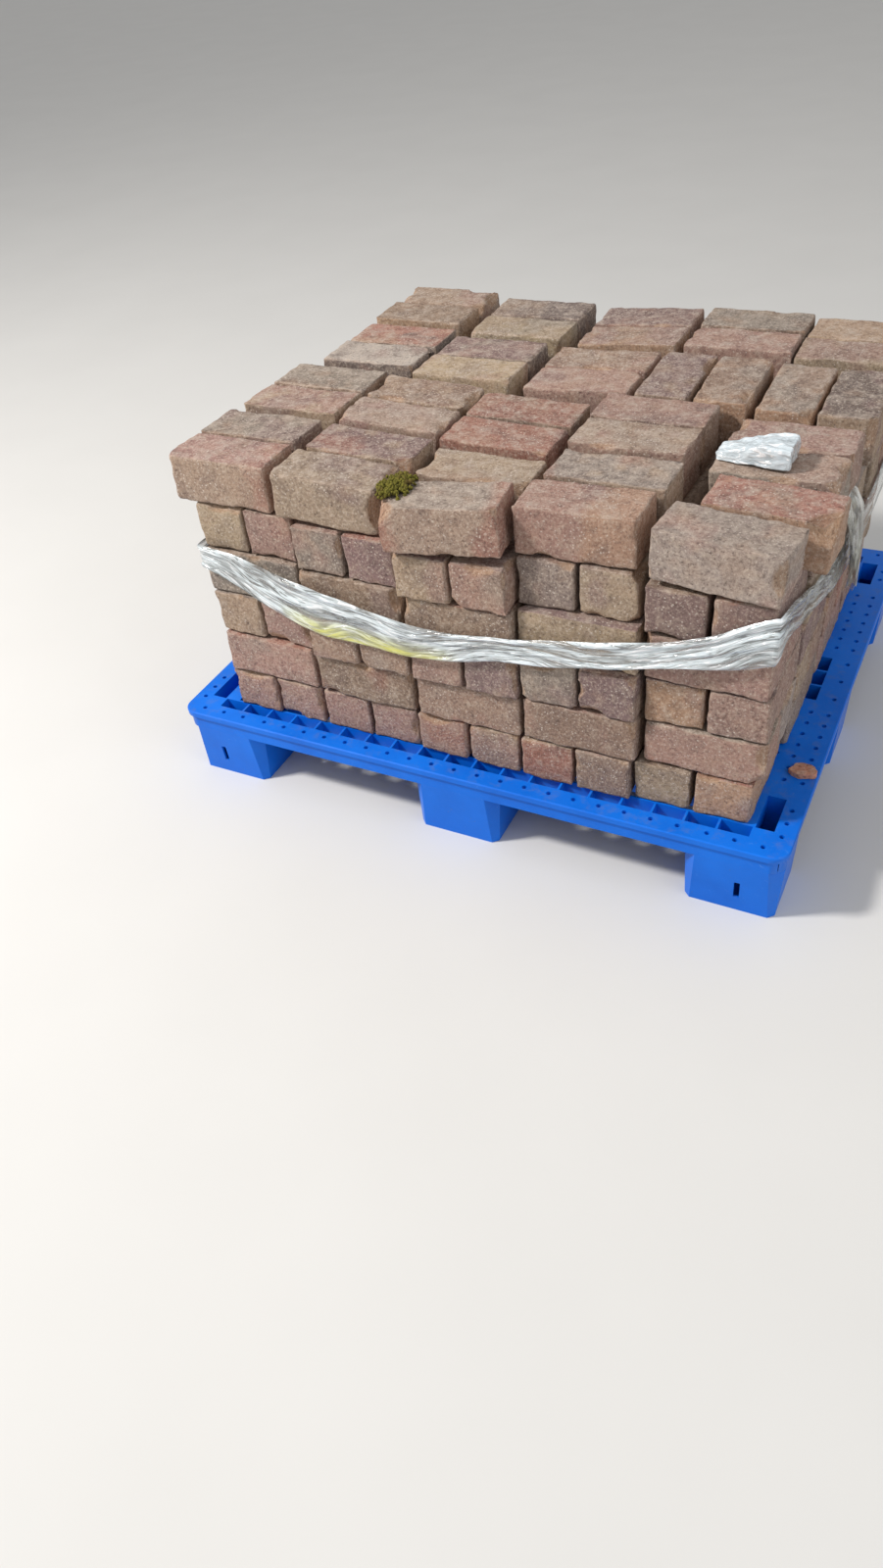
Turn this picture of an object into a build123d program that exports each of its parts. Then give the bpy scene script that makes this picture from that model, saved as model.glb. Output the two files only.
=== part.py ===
"""A pallet of reclaimed clay paving bricks, held by a wound band of stretch film.

Millimetres. The origin is on the floor, under the middle of the pallet. X runs along the
pallet's long side, Y goes away from its front, and Z is up.
"""
from build123d import *
import math
import os
import random

os.makedirs("parts", exist_ok=True)

# Pallet
pallet_length = 1200.0
pallet_depth = 1000.0
pallet_height = 150.0
pallet_corner = 30.0
deck_depth = 40.0
rim_thickness = 12.0
rim_overhang = 5.0
rim_edge_cut = 2.0
wall = 5.0
foot_length = 172.0
foot_depth = 150.0
foot_corner = 22.0
foot_draft = 3.0
front_rim = 37.0
side_rim = 52.0
corner_rim = 36.0
front_cell_depth = 25.0
front_cell_pitch = 56.0
rib = 4.0
deck_cell_columns = 7
deck_cell_rows = 5
side_plate_width = 98.0
drain_radius = 4.5
drain_inset = 22.0
drain_pitch_front = 46.0
drain_pitch_side = 33.0
drains_in_row = 3
slot_width = 10.0
slot_height = 36.0
slot_inset = 76.0
slot_bottom = 32.0

# Bricks
brick_length = 200.0
brick_width = 98.0
brick_height = 84.0
worn_edge = 5.0
columns = 5
rows = 4
courses = 6
column_pitch = 206.0
row_pitch = 224.0
stack_inset_right = 62.0
stack_inset_front = 58.0
seat_gap = 0.2
length_spread = 1.2
width_spread = 1.2
height_spread = 0.8
turn_spread = 0.35
place_spread = 1.5
layout_seed = 7

# How far the courses of each front tower stand out of line, from the bottom course up
front_push_x = [
    (0, 2, 3, -2, 0, -35),
    (0, 3, 5, 0, -1, -27),
    (-3, 3, 5, 2, -3, -14),
    (-6, 3, 3, 0, -4, -10),
    (-8, 5, 3, 1, 1, 8),
]
front_push_y = [
    (0, -2, 3, 7, 14, 14),
    (0, -5, -14, -5, 0, 6),
    (-4, -5, -14, -12, -17, -8),
    (-8, -8, -10, 0, 17, 22),
    (3, 6, 8, 5, 2, 3),
]
# How far the top course of the towers behind stands out of line, row by row
top_push_x = [(-26, -24, -22, -8, 26), (9, 8, 30, 31, 36), (0, 20, 46, 50, 46)]
top_push_y = [(14, 2, -12, 18, -4), (18, 4, 4, 2, 2), (22, 6, 4, 8, 8)]
row_lean_x = 8.0
# Brick height added in each column, left to right
column_rise = (1.8, 0.6, -0.6, 1.2, 0.0)
# Towers of row 3 whose top pair is laid the other way
turned_top = [(3, 2), (4, 2)]
# Top bricks that lie askew: (column, row, side) gives push along X and Y, turn and tilt
askew = {
    (1, 0, 1): (8, 0, 0, 0),
    (2, 0, 0): (0, -17, 7, 3),
    (2, 0, 1): (4, 2, 0, 0),
    (3, 0, 0): (0, -2, 1, 0.5),
    (3, 0, 1): (10, 0, 0, 0),
    (4, 0, 0): (0, -5, -4, -3),
    (4, 0, 1): (38, 2, -2, -1.5),
}

# Stretch film
film_thickness = 4.0
film_clearance = 0.4
film_corner_step = 2.0
# Each side of the band, walked anticlockwise: share of the side, then height of its middle above
# the deck and its width, both counted in the mark
film_mark = 2.0
band_front = [(0, 174, 23), (0.19, 145, 40), (0.42, 127, 31), (0.65, 140, 25), (0.87, 161, 27), (1, 181, 42)]
band_right = [(0, 181, 42), (0.28, 151, 40), (0.6, 125, 38), (1, 125, 30)]
band_back = [(0, 125, 30), (0.5, 115, 30), (1, 140, 25)]
band_left = [(0, 140, 25), (0.5, 160, 24), (1, 174, 23)]
first_banded_course = 2
last_banded_course = 4
flap_width = 200.0
flap_drop = 250.0
flap_rise = 422.0
flap_middle_y = -20.0
flap_thickness = 6.0
bunch_length = 122.0
bunch_depth = 78.0
bunch_height = 38.0

# Loose brick chip on the rim
chip_length = 50.0
chip_depth = 36.0
chip_height = 13.0
chip_inset_side = 28.0
chip_inset_front = 220.0

half_x = pallet_length / 2
half_y = pallet_depth / 2
stack_left = half_x - stack_inset_right - columns * column_pitch
stack_front = stack_inset_front - half_y


def block(x0, x1, y0, y1, z0, z1):
    """A box between two corners."""
    return Pos((x0 + x1) / 2, (y0 + y1) / 2, (z0 + z1) / 2) * Box(x1 - x0, y1 - y0, z1 - z0)


def cell_grid(x0, x1, y0, y1, count_x, count_y):
    """Rectangles of a rib lattice that fills a field, with a rib between neighbours."""
    pitch_x = (x1 - x0 + rib) / count_x
    pitch_y = (y1 - y0 + rib) / count_y
    cells = []
    for i in range(count_x):
        for j in range(count_y):
            left = x0 + i * pitch_x
            near = y0 + j * pitch_y
            cells.append((left, left + pitch_x - rib, near, near + pitch_y - rib))
    return cells


def mirrored(rectangles):
    """Each rectangle on both halves of the pallet, left and right, front and back."""
    both_sides = rectangles + [(-x1, -x0, y0, y1) for x0, x1, y0, y1 in rectangles]
    return both_sides + [(x0, x1, -y1, -y0) for x0, x1, y0, y1 in both_sides]


def deck_cells():
    """Open cells of the deck: narrow front and back rows, the middle field and the side cells."""
    narrow_reach = half_x - corner_rim - wall * 2 - front_cell_depth
    narrow_near = half_y - front_rim
    narrow_far = narrow_near - front_cell_depth
    second_near = narrow_far - rib
    second_far = narrow_far - front_cell_pitch
    narrow_count = round(2 * narrow_reach / front_cell_pitch)
    second_count = narrow_count // 2
    field_reach = half_x - side_plate_width
    field_far = second_far - rib
    cells = []
    for side in (-1, 1):
        y0, y1 = sorted((side * narrow_near, side * narrow_far))
        cells += cell_grid(-narrow_reach, narrow_reach, y0, y1, narrow_count, 1)
        y0, y1 = sorted((side * second_near, side * second_far))
        cells += cell_grid(-field_reach, field_reach, y0, y1, second_count, 1)
    cells += cell_grid(-field_reach, field_reach, -field_far, field_far, deck_cell_columns, deck_cell_rows)
    pocket = (narrow_reach + rib, half_x - corner_rim, half_y - foot_depth + wall, narrow_far)
    cells += mirrored([pocket])
    side_foot = foot_depth / 2 - wall
    for side in (-1, 1):
        x0, x1 = sorted((side * (field_reach + rib), side * (half_x - side_rim)))
        cells += cell_grid(x0, x1, -side_foot, side_foot, 1, 3)
    return cells


def underside_pockets():
    """Hollows below the closed parts of the deck, which leave the skin and its ribs."""
    inner = half_x - rim_overhang - wall
    plate = (half_x - side_plate_width + rib, inner, foot_depth / 2 + rib, half_y - foot_depth - rib)
    side_corner = (half_x - corner_rim + rib, inner, half_y - foot_depth + wall, half_y - front_rim)
    pockets = mirrored([plate, side_corner])
    reach = half_x - foot_length - rib
    front_strip = (foot_length / 2 + rib, reach, half_y - front_rim + rib, half_y - rim_overhang - wall)
    corner_strip = (reach + rib * 2, inner - rib, half_y - front_rim + rib, half_y - rim_overhang - wall)
    return pockets + mirrored([front_strip, corner_strip])


def drain_holes():
    """Drain holes through the rim, in a short row along each side of each corner."""
    x_line = half_x - drain_inset
    y_line = half_y - drain_inset
    holes = []
    for i in range(drains_in_row):
        holes.append((x_line - drain_inset - i * drain_pitch_front, y_line))
        holes.append((x_line, y_line - (i + 1) * drain_pitch_side))
    return [(sx * x, sy * y) for x, y in holes for sx in (-1, 1) for sy in (-1, 1)]


def prisms(rectangles, z0, z1):
    return [block(x0, x1, y0, y1, z0, z1) for x0, x1, y0, y1 in rectangles]


def tapered_block(length, depth, height, corner):
    """A block that hangs down from the origin: cut corners, and sides that lean in by the draft."""
    lean = height * math.tan(math.radians(foot_draft))
    leaning = Rot(-90, 0, 0) * Wedge(length, height, depth, lean, lean, length - lean, depth - lean)
    plan = chamfer(Rectangle(length, depth).vertices(), corner)
    return extrude(plan, -height) & Pos(0, 0, -height / 2) * leaning


def foot(x0, x1, y0, y1):
    """One hollow foot below the deck, open at its top."""
    height = pallet_height - deck_depth
    length = x1 - x0
    depth = y1 - y0
    inner_corner = foot_corner - wall * math.tan(math.radians(22.5))
    outside = tapered_block(length, depth, height, foot_corner)
    inside = tapered_block(length - 2 * wall, depth - 2 * wall, height - wall, inner_corner)
    return Pos((x0 + x1) / 2, (y0 + y1) / 2, height) * (outside - inside)


def make_pallet():
    """The moulded plastic pallet: deck skin, rib lattice, nine hollow feet and their slots."""
    skin_under = pallet_height - rim_thickness
    deck_under = pallet_height - deck_depth
    upper = RectangleRounded(pallet_length, pallet_depth, pallet_corner)
    skin = Pos(0, 0, skin_under) * extrude(upper, rim_thickness)
    skin = chamfer(skin.edges().group_by(Axis.Z)[-1], rim_edge_cut)
    lower_length = pallet_length - 2 * rim_overhang
    lower_depth = pallet_depth - 2 * rim_overhang
    lower = RectangleRounded(lower_length, lower_depth, pallet_corner - rim_overhang)
    lattice = Pos(0, 0, deck_under) * extrude(lower, deck_depth - rim_thickness)
    lattice = lattice - prisms(underside_pockets(), deck_under, skin_under)
    pallet = skin + lattice
    pallet = pallet - prisms(deck_cells(), deck_under, pallet_height)
    drains = [Pos(x, y, skin_under + rim_thickness / 2) * Cylinder(drain_radius, rim_thickness)
              for x, y in drain_holes()]
    pallet = pallet - drains
    edge_x = half_x - rim_overhang
    edge_y = half_y - rim_overhang
    inner_x = half_x - foot_length
    inner_y = half_y - foot_depth
    spans_x = ((-edge_x, -inner_x), (-foot_length / 2, foot_length / 2), (inner_x, edge_x))
    spans_y = ((-edge_y, -inner_y), (-foot_depth / 2, foot_depth / 2), (inner_y, edge_y))
    feet = [foot(x0, x1, y0, y1) for x0, x1 in spans_x for y0, y1 in spans_y]
    pallet = pallet + feet
    slots = []
    for sx in (-1, 1):
        for sy in (-1, 1):
            x = sx * (half_x - slot_inset)
            y = sy * edge_y
            slots.append(block(x - slot_width / 2, x + slot_width / 2, y - 2 * wall, y + 2 * wall,
                               slot_bottom, slot_bottom + slot_height))
    return pallet - slots


class Brick:
    """Place and size of one brick: its middle, its turn about Z and its tilt, right side up."""

    def __init__(self, along_x, size, x, y, turn, tilt, worn):
        self.length, self.width, self.height = size
        self.edge = worn_edge if worn else 0.0
        self.x = x
        self.y = y
        self.turn = turn + (0.0 if along_x else 90.0)
        self.tilt = tilt
        self.z = 0.0

    def spans(self, inset=0.0):
        """Lowest and highest X, then lowest and highest Y, less an inset on each side."""
        turn = math.radians(self.turn)
        cosine = abs(math.cos(turn))
        sine = abs(math.sin(turn))
        reach_x = (self.length * cosine + self.width * sine) / 2 - inset
        reach_y = (self.length * sine + self.width * cosine) / 2 - inset
        return self.x - reach_x, self.x + reach_x, self.y - reach_y, self.y + reach_y

    def top(self):
        return self.z + self.height / 2

    def supports(self, below):
        """Where each brick below carries this one: its reach along X and its top."""
        x0, x1, y0, y1 = self.spans(self.edge)
        found = []
        for other in below:
            a0, a1, b0, b1 = other.spans(other.edge)
            left, right = max(x0, a0), min(x1, a1)
            if left < right and max(y0, b0) < min(y1, b1):
                found.append((left, right, other.top()))
        return found

    def lean_on_taller(self, found):
        """Tilts the brick where one end lies on a taller tower beside its own."""
        own = [item for item in found if item[1] - item[0] > brick_width / 2]
        level = max(top for _, _, top in own)
        for left, right, top in found:
            if top > level and right - left <= brick_width / 2:
                rise = top - level
                if left > self.x:
                    self.tilt += math.degrees(math.atan2(rise, left - min(item[0] for item in own)))
                else:
                    self.tilt -= math.degrees(math.atan2(rise, max(item[1] for item in own) - right))

    def rest_on(self, below, may_lean):
        """Sets the brick down on the course below it."""
        found = self.supports(below)
        if may_lean and self.tilt == 0:
            self.lean_on_taller(found)
        slope = math.tan(math.radians(self.tilt))
        under = max(top - (x - self.x) * slope for left, right, top in found for x in (left, right))
        self.z = under + seat_gap + self.height / 2 / math.cos(math.radians(self.tilt))

    def solid(self):
        body = Box(self.length, self.width, self.height)
        if self.edge:
            body = chamfer(body.edges(), self.edge)
        return Pos(self.x, self.y, self.z) * Rot(0, -self.tilt, 0) * Rot(0, 0, self.turn) * body


def seen(column, row, course, side, headers):
    """True for a brick that shows on the outside of the stack."""
    if course == courses - 1:
        return True
    if headers:
        at_side = (column == 0 and side == 0) or (column == columns - 1 and side == 1)
        return row in (0, rows - 1) or at_side
    at_face = (row == 0 and side == 0) or (row == rows - 1 and side == 1)
    return column in (0, columns - 1) or at_face


def tower_push(column, row, course, rng):
    """How far one course of one tower stands out of line."""
    if row == 0:
        return front_push_x[column][course], front_push_y[column][course]
    if course == courses - 1:
        return top_push_x[row - 1][column], top_push_y[row - 1][column]
    lean = row_lean_x * row * course / courses
    return lean + rng.uniform(-place_spread, place_spread), rng.uniform(-3, 3) * place_spread


def lay_pair(column, row, course, rng):
    """The two bricks of one tower in one course, not yet set down."""
    push_x, push_y = tower_push(column, row, course, rng)
    middle_x = stack_left + column * column_pitch + brick_length / 2 + push_x
    middle_y = stack_front + row * row_pitch + brick_length / 2 + push_y
    is_top = course == courses - 1
    headers = course % 2 == 0 or (is_top and (column, row) in turned_top)
    pair = []
    for side in (0, 1):
        size = (brick_length + rng.uniform(-length_spread, length_spread),
                brick_width + rng.uniform(-width_spread, 0),
                brick_height + column_rise[column] + rng.uniform(-height_spread, height_spread))
        offset = (side - 0.5) * (brick_length - brick_width)
        turn = rng.uniform(-turn_spread, turn_spread)
        shift_x = shift_y = added_turn = tilt = 0.0
        if is_top and (column, row, side) in askew:
            shift_x, shift_y, added_turn, tilt = askew[column, row, side]
        x = middle_x + (offset if headers else 0.0) + shift_x
        y = middle_y + (0.0 if headers else offset) + shift_y
        worn = seen(column, row, course, side, headers)
        pair.append(Brick(not headers, size, x, y, turn + added_turn, tilt, worn))
    return pair


def lay_stack():
    """All courses from the pallet up, as one list of bricks for each course and row."""
    rng = random.Random(layout_seed)
    strips = {}
    deck = Brick(True, (pallet_length, pallet_depth, pallet_height), 0.0, 0.0, 0.0, 0.0, False)
    deck.z = pallet_height / 2
    below = [deck]
    for course in range(courses):
        laid = []
        for row in range(rows):
            strip = [brick for column in range(columns) for brick in lay_pair(column, row, course, rng)]
            for brick in strip:
                brick.rest_on(below, course == courses - 1)
            strips[course, row] = strip
            laid += strip
        below = laid
    return strips


def tightest_line(points):
    """The corners of the tightest line round the points in plan, walked anticlockwise."""
    line = []
    for ordered in (sorted(points), sorted(points, reverse=True)):
        chain = []
        for x, y in ordered:
            while len(chain) > 1:
                (x0, y0), (x1, y1) = chain[-2:]
                if (x1 - x0) * (y - y0) > (y1 - y0) * (x - x0):
                    break
                chain.pop()
            chain.append((x, y))
        line += chain[:-1]
    return line


def band_line(strips):
    """The line that the band is stretched along, round the bricks of its courses."""
    points = set()
    for (course, _), strip in strips.items():
        if first_banded_course <= course <= last_banded_course:
            for brick in strip:
                x0, x1, y0, y1 = [reach / film_corner_step for reach in brick.spans(-film_clearance)]
                for x in (math.floor(x0), math.ceil(x1)):
                    for y in (math.floor(y0), math.ceil(y1)):
                        points.add((x * film_corner_step, y * film_corner_step))
    return tightest_line(points)


def along(known, share):
    """The values at one share of a row of points, each a share and its values."""
    for before, after in zip(known, known[1:]):
        if share <= after[0]:
            part = (share - before[0]) / (after[0] - before[0])
            return [a + part * (b - a) for a, b in zip(before[1:], after[1:])]
    return list(known[-1][1:])


def band_stations(line):
    """Places on the band, anticlockwise from the front left: X, Y, lower edge and upper edge."""
    turns = [max(line, key=lambda point: sx * point[0] + sy * point[1])
             for sx, sy in ((-1, -1), (1, -1), (1, 1), (-1, 1))]
    first = line.index(turns[0])
    line = line[first:] + line[:first + 1]
    stations = []
    for i, profile in enumerate((band_front, band_right, band_back, band_left)):
        begin = line.index(turns[i])
        end = line.index(turns[i + 1]) if i < 3 else len(line) - 1
        walked = [0.0]
        for here, there in zip(line[begin:end], line[begin + 1:end + 1]):
            walked.append(walked[-1] + math.dist(here, there))
        track = [(length / walked[-1], *point) for length, point in zip(walked, line[begin:end + 1])]
        for share in sorted({item[0] for item in track + profile})[:-1]:
            middle, width = [value * film_mark for value in along(profile, share)]
            middle += pallet_height
            stations.append((*along(track, share), middle - width / 2, middle + width / 2))
    return stations


def make_film_band(strips):
    """The band of stretch film: a flat belt pulled straight from corner to corner."""
    stations = band_stations(band_line(strips))
    rings = []
    for i, (x, y, low, high) in enumerate(stations):
        before = Vector(*stations[i - 1][:2])
        after = Vector(*stations[(i + 1) % len(stations)][:2])
        here = Vector(x, y)
        out_before = (here - before).normalized().cross(Vector(0, 0, 1))
        out_after = (after - here).normalized().cross(Vector(0, 0, 1))
        outer = here + (out_before + out_after) * (film_thickness / (1 + out_before.dot(out_after)))
        rings.append([Vector(point.X, point.Y, z) for point in (here, outer) for z in (low, high)])
    faces = []
    for ring, following in zip(rings, rings[1:] + rings[:1]):
        for a, b in ((0, 1), (3, 2)):
            faces.append(Face(Wire.make_polygon([ring[a], ring[b], following[b], following[a]])))
        for a, b in ((1, 3), (2, 0)):
            faces.append(Face(Wire.make_polygon([ring[a], ring[b], following[b]])))
            faces.append(Face(Wire.make_polygon([ring[a], following[b], following[a]])))
    return Solid(Shell(faces))


def make_film_flap(strips):
    """The loose end of the film, which hangs on the right of the band."""
    line = band_line(strips)
    start, end = next((Vector(*here), Vector(*there)) for here, there in zip(line, line[1:] + line[:1])
                      if here[1] <= flap_middle_y < there[1])
    side = (end - start).normalized()
    outward = side.cross(Vector(0, 0, 1))
    on_line = start + side * ((flap_middle_y - start.Y) / side.Y)
    place = on_line + outward * (film_thickness + film_clearance)
    half = flap_width / 2
    outline = make_face(Polyline((-half, 0), (half * 0.7, -flap_drop * 0.1), (half, -flap_drop * 0.8),
                                 (half * 0.1, -flap_drop), (-half * 0.6, -flap_drop * 0.6), close=True))
    hung = Plane(origin=(place.X, place.Y, pallet_height + flap_rise), x_dir=side, z_dir=outward) * outline
    return extrude(hung, flap_thickness, dir=outward)


def make_film_bunch(strips):
    """The lump of bunched film that lies on the right-hand tower of the second row."""
    under = strips[courses - 1, 1][2 * (columns - 1)]
    body = chamfer(Box(bunch_length, bunch_depth, bunch_height).edges(), bunch_height * 0.3)
    seat = under.top() + film_clearance + bunch_height / 2
    return Pos(under.x - (brick_length - bunch_length) / 2 + film_clearance, under.y, seat) * body


def make_chip():
    """A loose chip of brick on the rim."""
    base = make_face(Polyline((-0.5, -0.3), (0.1, -0.5), (0.5, -0.1), (0.35, 0.4), (-0.3, 0.5), close=True))
    foot_face = scale(base, by=(chip_length, chip_depth, 1))
    top_face = scale(base, by=(chip_length * 0.7, chip_depth * 0.6, 1))
    chip = loft([foot_face, Pos(0, 0, chip_height) * top_face], ruled=True)
    return Pos(half_x - chip_inset_side, chip_inset_front - half_y, pallet_height + seat_gap) * chip


strips = lay_stack()
export_step(make_pallet(), "parts/pallet.step")
for (course, row), strip in strips.items():
    solids = [brick.solid() for brick in strip]
    export_step(Compound(children=solids), f"parts/bricks_course_{course + 1}_row_{row + 1}.step")
export_step(make_film_band(strips), "parts/film_band.step")
export_step(make_film_flap(strips), "parts/film_flap.step")
export_step(make_film_bunch(strips), "parts/film_bunch.step")
export_step(make_chip(), "parts/brick_chip.step")
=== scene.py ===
import math

import bmesh
import bpy
import numpy as np
from mathutils import Matrix, Vector


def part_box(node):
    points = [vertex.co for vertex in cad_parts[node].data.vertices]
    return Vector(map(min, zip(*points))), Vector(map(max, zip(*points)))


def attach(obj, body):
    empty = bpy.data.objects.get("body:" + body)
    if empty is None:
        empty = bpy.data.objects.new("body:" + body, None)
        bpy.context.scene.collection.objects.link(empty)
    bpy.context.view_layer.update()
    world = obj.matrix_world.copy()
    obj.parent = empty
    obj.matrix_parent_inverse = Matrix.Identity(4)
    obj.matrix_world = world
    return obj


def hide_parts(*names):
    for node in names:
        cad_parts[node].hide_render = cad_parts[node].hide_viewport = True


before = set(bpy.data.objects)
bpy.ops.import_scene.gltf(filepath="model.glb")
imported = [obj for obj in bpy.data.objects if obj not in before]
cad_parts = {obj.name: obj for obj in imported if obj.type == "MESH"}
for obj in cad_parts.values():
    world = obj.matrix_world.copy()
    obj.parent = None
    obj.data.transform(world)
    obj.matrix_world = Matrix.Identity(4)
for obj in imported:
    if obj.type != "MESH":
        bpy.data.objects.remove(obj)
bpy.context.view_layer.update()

# Metres, in the frame of the model: X along the pallet's long side, Y away from its front, Z up.

COURSES = 6
ROWS = 4
LAST_COLUMN = 4
# Corners of a brick that the CAD gives as a plain box, because no face of it shows
PLAIN_CORNERS = 8
# Width of the mesh cells on bricks close to the camera, elsewhere in sight, and out of sight
FINE_STEP = 0.0055
MIDDLE_STEP = 0.008
COARSE_STEP = 0.020
# Mean radius of a worn edge, and its smallest and largest value
WORN_RADIUS = 0.0052
WORN_LIMITS = (0.0016, 0.014)
# Where an edge begins to count as worn, as a share of its radius
EDGE_SHARE = 0.42
# Dents of the faces, wide and narrow, and of the worn edges: depth and width
WIDE_DENT = (0.0009, 0.07)
NARROW_DENT = (0.0006, 0.014)
WORN_DENT = (0.0026, 0.012)
# Small breaks: fewest and most a brick, share on an edge, smallest reach and what is added, depth share
CHIP_COUNT = (6, 13)
CHIPS_ON_EDGE = 0.75
CHIP_REACH = (0.008, 0.030)
CHIP_DEPTH = (0.24, 0.46)
# Roughness of a broken face, the cut that shows fresh clay in full, and how far a break can spread
BREAK_ROUGHNESS = 0.0012
FRESH_CUT = 0.0025
BREAK_SPREAD = 1.6

# Linear base colours of the fired clay, by the name of the shade
CLAY = {
    "pink": (0.375, 0.230, 0.190),
    "red": (0.370, 0.172, 0.130),
    "tan": (0.395, 0.288, 0.205),
    "yellow": (0.430, 0.322, 0.215),
    "orange": (0.450, 0.276, 0.180),
    "brown": (0.310, 0.208, 0.155),
    "rose": (0.405, 0.292, 0.232),
    "gray": (0.300, 0.246, 0.208),
    "ash": (0.370, 0.305, 0.262),
    "dark": (0.185, 0.146, 0.128),
    "purple": (0.262, 0.172, 0.162),
    "white": (0.490, 0.420, 0.360),
}

# What weather and wear leave on the clay, with painted highlight in the pale rubbed edges
SMOKE = (0.200, 0.150, 0.135)
BUFF = (0.46, 0.31, 0.22)
LIME = (0.50, 0.40, 0.32)
SOOT = (0.13, 0.090, 0.078)
BROKEN_CLAY = (0.44, 0.27, 0.165)
RUBBED_AND_LIT_CLAY = (0.60, 0.46, 0.37)
PALE_SAND = (0.68, 0.57, 0.47)
DARK_SAND = (0.075, 0.050, 0.042)
DUST = (0.54, 0.46, 0.40)
PALE_GRAIN = (0.78, 0.70, 0.62)

# Top course, row by row from the front: for each tower its two bricks, as top shade / side shade
TOP_SHADES = [
    "pink/tan gray/brown, tan/tan purple/tan, ash/rose tan/brown, pink/pink gray/tan, gray/ash red/orange",
    "pink/tan gray/brown, rose/pink brown/tan, red/red red/brown, rose/pink pink/brown, "
    "rose/gray pink/brown",
    "white/dark red/dark, yellow/yellow purple/dark, pink/pink brown/pink, purple/brown brown/orange, "
    "gray/orange dark/tan",
    "brown/orange tan/tan, tan/yellow dark/dark, pink/orange purple/pink, pink/pink gray/brown, "
    "pink/tan tan/yellow",
]
# Front face below the top course, from the second course down, tower by tower
FRONT_SHADES = [
    "tan pink, gray purple, yellow pink, gray tan, purple purple",
    "gray gray, brown brown, brown brown, yellow yellow, pink pink",
    "tan pink, brown brown, pink purple, gray purple, orange pink",
    "pink pink, brown brown, brown brown, brown brown, pink ash",
    "pink pink, pink pink, pink pink, red brown, tan orange",
]
# Bricks with burnt ends: shade, which end (0 for both), where it starts along the half length, strength
END_SHADES = {
    (6, 1, 2, 0): ("red", 0, 0.62, 0.80),
    (6, 1, 3, 0): ("orange", 1, 0.05, 0.62),
    (6, 1, 0, 0): ("red", 1, 0.55, 0.50),
    (5, 1, 2, 0): ("orange", 1, 0.30, 0.45),
}
HIDDEN_SHADES = ["pink", "brown", "purple", "tan", "gray", "red", "brown", "pink"]


def seeded(*keys):
    """A random generator that gives the same draws for the same keys."""
    return np.random.default_rng([int(key) for key in keys])


def hashed(points):
    """A number from 0 to 1 for each lattice point, always the same."""
    n = points[..., 0] * 73856093 ^ points[..., 1] * 19349663 ^ points[..., 2] * 83492791
    n = (n ^ (n >> 13)) * 1274126177 & 0x7FFFFFFF
    return (n ^ (n >> 16)) % 65536 / 65535.0


def noise(points, size):
    """Smooth noise from -1 to 1, whose features are about as wide as the size."""
    scaled = points / size
    cell = np.floor(scaled).astype(np.int64)
    part = scaled - cell
    part = part * part * (3 - 2 * part)
    total = np.zeros(len(points))
    for dx in (0, 1):
        for dy in (0, 1):
            for dz in (0, 1):
                corner = np.array([dx, dy, dz])
                total += np.abs(1 - corner - part).prod(1) * hashed(cell + corner)
    return total * 2 - 1


def layered(points, size, octaves):
    """Noise with finer and weaker layers added."""
    total = np.zeros(len(points))
    share = 1.0
    for octave in range(octaves):
        total += share * noise(points + 0.37 * octave, size)
        size *= 0.5
        share *= 0.5
    return total


# Kind of a point attribute and the key of its value, by how many numbers a point has
ATTRIBUTE_KINDS = {1: ("FLOAT", "value"), 3: ("FLOAT_VECTOR", "vector"), 4: ("FLOAT_COLOR", "color")}


def new_object(name, points, faces, attributes, material, smooth=True):
    """A mesh object with its point attributes and its material."""
    mesh = bpy.data.meshes.new(name)
    mesh.from_pydata(points.tolist(), [], faces.tolist() if hasattr(faces, "tolist") else faces)
    mesh.update()
    for label, values in attributes.items():
        kind, key = ATTRIBUTE_KINDS[1 if values.ndim == 1 else values.shape[1]]
        layer = mesh.attributes.new(label, kind, "POINT")
        layer.data.foreach_set(key, values.astype(np.float32).ravel())
    if smooth:
        mesh.polygons.foreach_set("use_smooth", np.ones(len(mesh.polygons), bool))
    made = bpy.data.objects.new(name, mesh)
    bpy.context.scene.collection.objects.link(made)
    if material:
        made.data.materials.append(material)
    return made


# Node helpers

# Relief that the bump of each material stands for
CLAY_RELIEF = 0.0030
PLASTIC_RELIEF = 0.0003
FILM_RELIEF = 0.0040
MOSS_RELIEF = 0.0020


def is_socket(value):
    """Whether a value is another node's output."""
    return isinstance(value, bpy.types.NodeSocket)


def as_colour(value):
    """A socket as it is, or three numbers with full alpha added."""
    return value if is_socket(value) else (*value, 1.0)


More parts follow.
